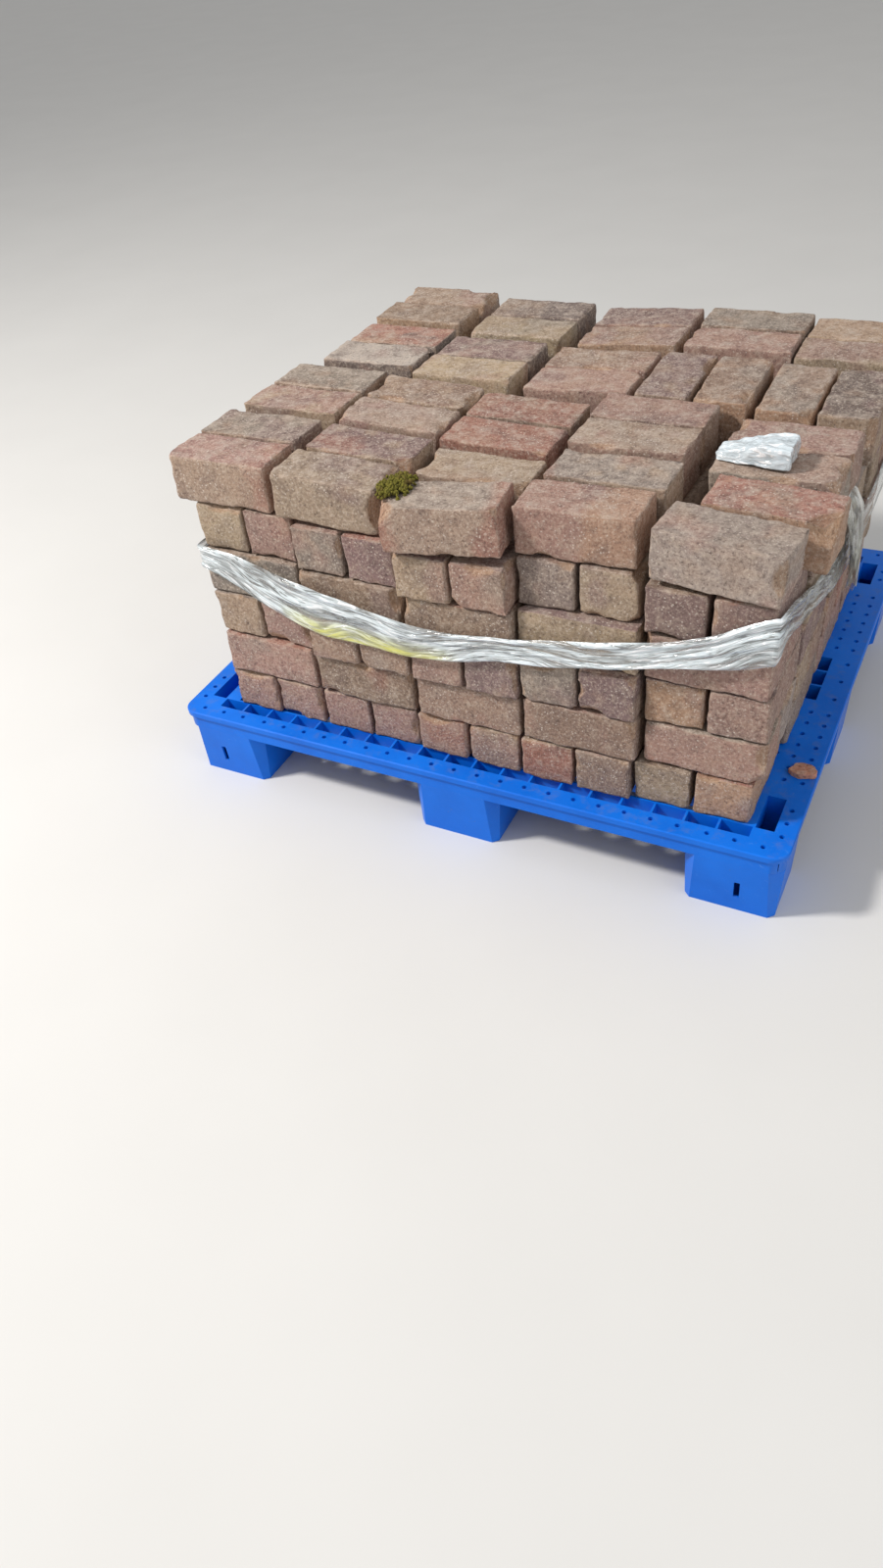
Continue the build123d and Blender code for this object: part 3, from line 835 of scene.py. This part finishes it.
def band_walk():
    """Along the band, as arrays: inner place, outward direction, distance, lower and upper edge."""
    points, outward, places = band_line()
    edges = []
    for place, direction in zip(points, outward):
        if abs(direction[1]) > abs(direction[0]):
            marks, at = (BAND_FRONT if direction[1] < 0 else BAND_BACK), place[0]
        else:
            marks, at = (BAND_RIGHT if direction[0] > 0 else BAND_LEFT), place[1]
        where, lower, upper = np.array(marks).T
        edges.append((np.interp(at, where, lower), np.interp(at, where, upper)))
    edges = np.array(edges)
    edges = sum(np.roll(edges, shift, 0) for shift in (-2, -1, 0, 1, 2)) / 5
    return points - outward * FILM_SKIN, outward, places, edges[:, 0], edges[:, 1]


def ridges(phase):
    """A rounded ridge once in each whole number of the phase, from 0 to 1."""
    wave = np.abs(phase - np.floor(phase) - 0.5) * 2
    return 1 - wave ** RIDGE_ROUNDNESS


def film_folds(walk, across):
    """How far the film stands out where its lengthwise folds run, in metres."""
    spot = np.stack([walk, across * 0, across * 0], 1)
    out = np.zeros(len(walk))
    for count, height, seed in BAND_FOLDS:
        wander = 0.5 * layered(spot + seed, 0.35, 2) + 0.12 * layered(spot + seed * 2, 0.07, 2)
        strength = 0.65 + 0.5 * noise(np.stack([walk, across * 0.6, across * 0 + seed], 1), 0.16)
        out += height * strength * ridges(across * count + wander + seed)
    return out


def make_band():
    """The wound film round the stack: a belt of lengthwise folds with rolled edges."""
    inner, directions, places, lows, highs = band_walk()
    columns = len(places)
    across = np.linspace(0, 1, FILM_ROWS + 1)
    points, run, stain, thin_and_shaded, folds = [], [], [], [], []
    for at, outward, walked, lower, upper in zip(inner, directions, places, lows, highs):
        folded = film_folds(np.full(len(across), walked), across)
        edge = np.minimum(across, 1 - across) * (FILM_ROWS / FILM_EDGE_ROWS)
        stand = np.where(edge < 1, np.sqrt(np.clip(edge, 0, 1)), 1)
        stand = stand * (FILM_STAND + folded + FILM_ROLL * np.exp(-(edge - 1.2) ** 2))
        ragged = FILM_RAGGED * noise(np.array([[walked, 0, 3.0], [walked, 0, 7.0]]), 0.045)
        z = lower + ragged[0] + across * (upper - lower + ragged[1] - ragged[0])
        xy = at[None, :] + outward[None, :] * stand[:, None]
        points.append(np.column_stack([xy, z]))
        even = np.ones(len(across))
        spot = np.column_stack([even * walked, across * 0.08, even * 2.0])
        slant = across + CREASE_SLANT * layered(spot, 0.20, 3)
        run.append(np.column_stack([even * walked * CREASES_ALONG, slant * CREASES_ACROSS, even * 0.0]))
        reach = (at[0] - STAIN_REACH[0]) / (STAIN_REACH[1] - STAIN_REACH[0])
        fade = math.sin(math.pi * reach) if 0 < reach < 1 and outward[1] < 0 else 0.0
        stain.append(np.clip(1.35 - across / STAIN_RISE, 0, 1) * min(1.0, 1.6 * fade))
        # On the right side the film is thinner and painted darker as shade
        on_right = outward[0] > 0.7
        thin_and_shaded.append(even * (min(1.0, max(0.0, (at[1] - THIN_SHADE_FROM) / THIN_SHADE_FADE)) if on_right else 0.0))
        folds.append(np.clip(folded / FULL_FOLD, 0, 1))
    faces = []
    for i in range(columns):
        for k in range(FILM_ROWS):
            a = i * (FILM_ROWS + 1) + k
            b = (i + 1) % columns * (FILM_ROWS + 1) + k
            faces.append((a, b, b + 1, a + 1))
    values = {"film_run": run, "film_stain": stain, "film_thin_and_shaded": thin_and_shaded, "film_fold": folds}
    values = {key: np.concatenate(parts) for key, parts in values.items()}
    piece = new_object("wound_film_band", np.concatenate(points), faces, values, WOUND_FILM)
    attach(piece, "root")
    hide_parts("film_band")


# The flap's left and right edge from its top down, as Y and Z, and its mesh
FLAP_LEFT = [(-0.112, 0.571), (-0.106, 0.500), (-0.060, 0.440), (0.000, 0.372), (0.052, 0.318)]
FLAP_RIGHT = [(-0.052, 0.573), (-0.008, 0.545), (0.046, 0.492), (0.074, 0.410), (0.076, 0.316)]
FLAP_COLUMNS = 34
FLAP_ROWS = 60
FLAP_INSET = 0.006
# How often the creases repeat down and across it, and how folded it counts
FLAP_CREASES = (3.0, 9.0)
FLAP_FOLD = 0.15


def make_flap():
    """The loose end of the film: gathered at its top, spread and torn to a point below."""
    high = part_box("film_flap")[1]
    levels = np.linspace(0, 1, len(FLAP_LEFT))
    points, run = [], []
    for j in range(FLAP_ROWS + 1):
        down = j / FLAP_ROWS
        left = np.array([np.interp(down, levels, [mark[axis] for mark in FLAP_LEFT]) for axis in (0, 1)])
        right = np.array([np.interp(down, levels, [mark[axis] for mark in FLAP_RIGHT]) for axis in (0, 1)])
        for i in range(FLAP_COLUMNS + 1):
            over = i / FLAP_COLUMNS
            y, z = left + (right - left) * over
            wave = math.sin(over * 15 + 2.2 * math.sin(down * 2.6)) * 0.0055 * (1 - 0.45 * down)
            wave += 0.008 * math.sin(over * 5.1 + down * 2.0 + 0.6)
            ragged = 0.004 * math.sin(over * 31 + 3 * down) * down ** 4
            bulge = 0.012 * math.sin(down * 2.4)
            x = high.x - FLAP_INSET + wave * min(1.0, 4 * down) + bulge
            points.append((x, y, z + ragged))
            run.append((down * FLAP_CREASES[0], over * FLAP_CREASES[1], 0.0))
    faces = []
    width = FLAP_COLUMNS + 1
    for j in range(FLAP_ROWS):
        for i in range(FLAP_COLUMNS):
            a = j * width + i
            faces.append((a, a + 1, a + width + 1, a + width))
    count = len(points)
    values = {"film_run": np.array(run), "film_stain": np.zeros(count)}
    values["film_fold"] = np.full(count, FLAP_FOLD)
    piece = new_object("hanging_film_flap", np.array(points), faces, values, SHADED_HANGING_FILM)
    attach(piece, "root")
    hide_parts("film_flap")


BUNCH_STEP = 0.0026
BUNCH_ROUNDING = 0.006
# Creases of the bunched film: direction, distance, height and seed, and the deepest crease
BUNCH_FOLDS = ((0.35, 0.034, 0.0026, 1.0), (-0.25, 0.017, 0.0014, 4.0), (1.1, 0.022, 0.0012, 8.0))
BUNCH_DEPTH = 0.005
BUNCH_CREASES = (24.0, 60.0, 60.0)


def make_bunch():
    """The bunched film: a crumpled packet, low at its left end and square at its right one."""
    low, high = (np.array(corner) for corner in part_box("film_bunch"))
    middle, half = (low + high) / 2, (high - low) / 2
    lines = [stations(size, BUNCH_STEP, BUNCH_ROUNDING) for size in half]
    corners, faces = lattice(tuple(len(line) - 1 for line in lines))
    flat = np.stack([lines[axis][corners[:, axis]] for axis in range(3)], 1)
    core = np.clip(flat, -(half - BUNCH_ROUNDING), half - BUNCH_ROUNDING)
    outward = flat - core
    outward /= np.maximum(np.linalg.norm(outward, axis=1, keepdims=True), 1e-9)
    skin = core + outward * BUNCH_ROUNDING
    along = (skin[:, 0] / half[0] + 1) / 2
    rise = (skin[:, 2] + half[2]) / (2 * half[2])
    top = 0.34 + 0.62 * np.clip(along * 1.5, 0, 1) ** 0.8
    depth = 0.55 + 0.42 * np.clip(along * 1.3, 0, 1)
    skin[:, 1] = skin[:, 1] * depth * (1 - 0.18 * rise) + half[1] * 0.15 * (1 - depth)
    skin[:, 2] = -half[2] + rise * 2 * half[2] * top
    crease = np.zeros(len(skin))
    for turn, size, height, seed in BUNCH_FOLDS:
        line = skin[:, 0] * math.sin(turn) + skin[:, 1] * math.cos(turn)
        wander = 0.6 * layered(skin + seed, 0.03, 2)
        crease += height * ridges((line + 0.3 * skin[:, 2]) / size + wander + seed)
    skin -= outward * (BUNCH_DEPTH - np.clip(crease, 0, BUNCH_DEPTH))[:, None]
    values = {"film_run": skin * np.array(BUNCH_CREASES), "film_stain": np.zeros(len(skin))}
    values["film_fold"] = np.clip(crease / BUNCH_DEPTH, 0, 1)
    piece = new_object("bunched_film", skin + middle, faces, values, BUNCHED_FILM)
    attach(piece, "root")
    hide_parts("film_bunch")


# Each film's pale and dark colour, how much its thin parts cover, and how dark the painted shade in its
# creases is
WOUND_FILM = film_material("wound_film", (0.72, 0.80, 0.84), (0.47, 0.52, 0.54), 0.40, 0.78)
# The hanging flap's colours are darker than the wound film's: painted shade of the stack's right side
SHADED_HANGING_FILM = film_material("hanging_film", (0.44, 0.44, 0.38), (0.24, 0.24, 0.19), 0.32, 0.74)
BUNCHED_FILM = film_material("bunched_film_skin", (0.73, 0.81, 0.86), (0.56, 0.64, 0.69), 0.84, 0.30)
make_band()
make_flap()
make_bunch()

# Moss and chip

MOSS_MIDDLE = (-0.081, -0.413, 0.6595)
MOSS_REACH = (0.030, 0.043, 0.0095)
MOSS_TUFTS = 380
MOSS_SPREAD = 0.48
MOSS_EDGE = 1.05
TUFT_SIZE = (0.0016, 0.0042)
FLAKE_STEP = 0.0022
FLAKE_EDGE = 0.0025
FLAKE_TONE = (0.66, 0.30, 0.205, 1.0)


def make_moss():
    """Dry moss in the gap behind the second and third tower: many small lumps in one mesh."""
    draw = seeded(31)
    ball = bmesh.new()
    bmesh.ops.create_icosphere(ball, subdivisions=1, radius=1.0)
    lump = np.array([v.co for v in ball.verts])
    lump_faces = np.array([[v.index for v in face.verts] for face in ball.faces])
    ball.free()
    points, faces = [], []
    for _ in range(MOSS_TUFTS):
        spread = draw.normal(0, MOSS_SPREAD, 2)
        if np.linalg.norm(spread) > MOSS_EDGE:
            continue
        rise = (1 - 0.7 * spread @ spread) + draw.uniform(-0.3, 0.3)
        place = np.array(MOSS_MIDDLE) + np.array([spread[0], spread[1], rise]) * MOSS_REACH
        size = draw.uniform(*TUFT_SIZE) * np.array([1, 1, draw.uniform(0.8, 1.5)])
        points.append(lump * size * draw.uniform(0.75, 1.25, (len(lump), 1)) + place)
        faces.append(lump_faces + len(lump) * len(faces))
    piece = new_object("moss", np.concatenate(points), np.concatenate(faces), {}, moss_material())
    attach(piece, "root")


def make_chip():
    """The loose chip on the rim: a thin flake with a broken outline."""
    low, high = (np.array(corner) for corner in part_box("brick_chip"))
    middle, half = (low + high) / 2, (high - low) / 2
    lines = [stations(size, FLAKE_STEP, FLAKE_EDGE) for size in half]
    corners, faces = lattice(tuple(len(line) - 1 for line in lines))
    flat = np.stack([lines[axis][corners[:, axis]] for axis in range(3)], 1)
    angle = np.arctan2(flat[:, 1] / half[1], flat[:, 0] / half[0])
    square = np.maximum(np.abs(flat[:, 0] / half[0]), np.abs(flat[:, 1] / half[1]))
    reach = 0.90 + 0.07 * np.cos(3 * angle + 0.7) + 0.05 * np.cos(5 * angle + 2.0)
    reach += 0.02 * np.cos(11 * angle)
    disc = np.stack([np.cos(angle), np.sin(angle)], 1) * (square * reach)[:, None] * half[:2]
    skin = np.column_stack([disc, flat[:, 2]])
    skin[:, 2] = -half[2] + (skin[:, 2] + half[2]) * (0.74 + 0.2 * skin[:, 0] / half[0])
    skin[:, 2] += np.where(flat[:, 2] > 0, 0.0012 * layered(skin + 3, 0.012, 3), 0)
    count = len(skin)
    values = {"clay_tone": np.tile(FLAKE_TONE, (count, 1)), "clay_place": skin + 50}
    values.update({"clay_worn": np.zeros(count), "clay_fresh": np.zeros(count)})
    piece = new_object("loose_chip", skin + middle, faces, values, clay)
    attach(piece, "root")
    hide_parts("brick_chip")


make_moss()
make_chip()

# Camera, floor and light

# The camera that was fitted to the corners of the bricks and the pallet in the photo
CAMERA_PLACE = Vector((0.7774, -1.7983, 1.4542))
CAMERA_RIGHT = Vector((0.8903, 0.4446, -0.0979))
CAMERA_DOWN = Vector((0.2291, -0.6234, -0.7476))
CAMERA_FORWARD = Vector((-0.3934, 0.6432, -0.6569))
CAMERA_LENS = 25.584
CAMERA_SENSOR = 36.0
CAMERA_CLIP = (0.05, 60.0)
FLOOR_REACH = 14.0
WORLD_LIGHT = 0.48
# Lamps: name, place, target, size, power and colour
LAMPS = (
    ("key", (-3.1, -2.4, 4.2), (0, 0, 0.3), 0.6, 290.0, (1.0, 0.97, 0.93)),
    ("fill", (3.2, -1.2, 2.4), (0, 0, 0.4), 2.4, 32.0, (0.94, 0.97, 1.0)),
)


def make_camera():
    """The photo's view of the stack."""
    data = bpy.data.cameras.new("camera")
    camera = bpy.data.objects.new("camera", data)
    bpy.context.scene.collection.objects.link(camera)
    turn = Matrix((CAMERA_RIGHT, -CAMERA_DOWN, -CAMERA_FORWARD)).transposed()
    camera.matrix_world = Matrix.Translation(CAMERA_PLACE) @ turn.to_4x4()
    data.sensor_width = CAMERA_SENSOR
    data.lens = CAMERA_LENS
    data.clip_start, data.clip_end = CAMERA_CLIP
    bpy.context.scene.camera = camera


def make_light(name, place, target, size, power, colour):
    """A soft square lamp at a place, aimed at a target."""
    data = bpy.data.lights.new(name, "AREA")
    data.size = size
    data.energy = power
    data.color = colour
    lamp = bpy.data.objects.new(name, data)
    bpy.context.scene.collection.objects.link(lamp)
    lamp.location = place
    lamp.rotation_euler = (Vector(target) - Vector(place)).to_track_quat("-Z", "Y").to_euler()


def make_studio():
    """The plain floor, the even light of the world and the lamps."""
    corners = np.array([(-1, -1, 0), (1, -1, 0), (1, 1, 0), (-1, 1, 0)]) * FLOOR_REACH
    floor = new_object("floor", corners, [[0, 1, 2, 3]], {}, floor_material(), smooth=False)
    world = bpy.data.worlds.new("studio")
    world.use_nodes = True
    background = world.node_tree.nodes["Background"]
    background.inputs["Color"].default_value = (1.0, 1.0, 1.0, 1.0)
    background.inputs["Strength"].default_value = WORLD_LIGHT
    bpy.context.scene.world = world
    for lamp in LAMPS:
        make_light(*lamp)
    bpy.context.scene.view_settings.view_transform = "Standard"


make_camera()
make_studio()
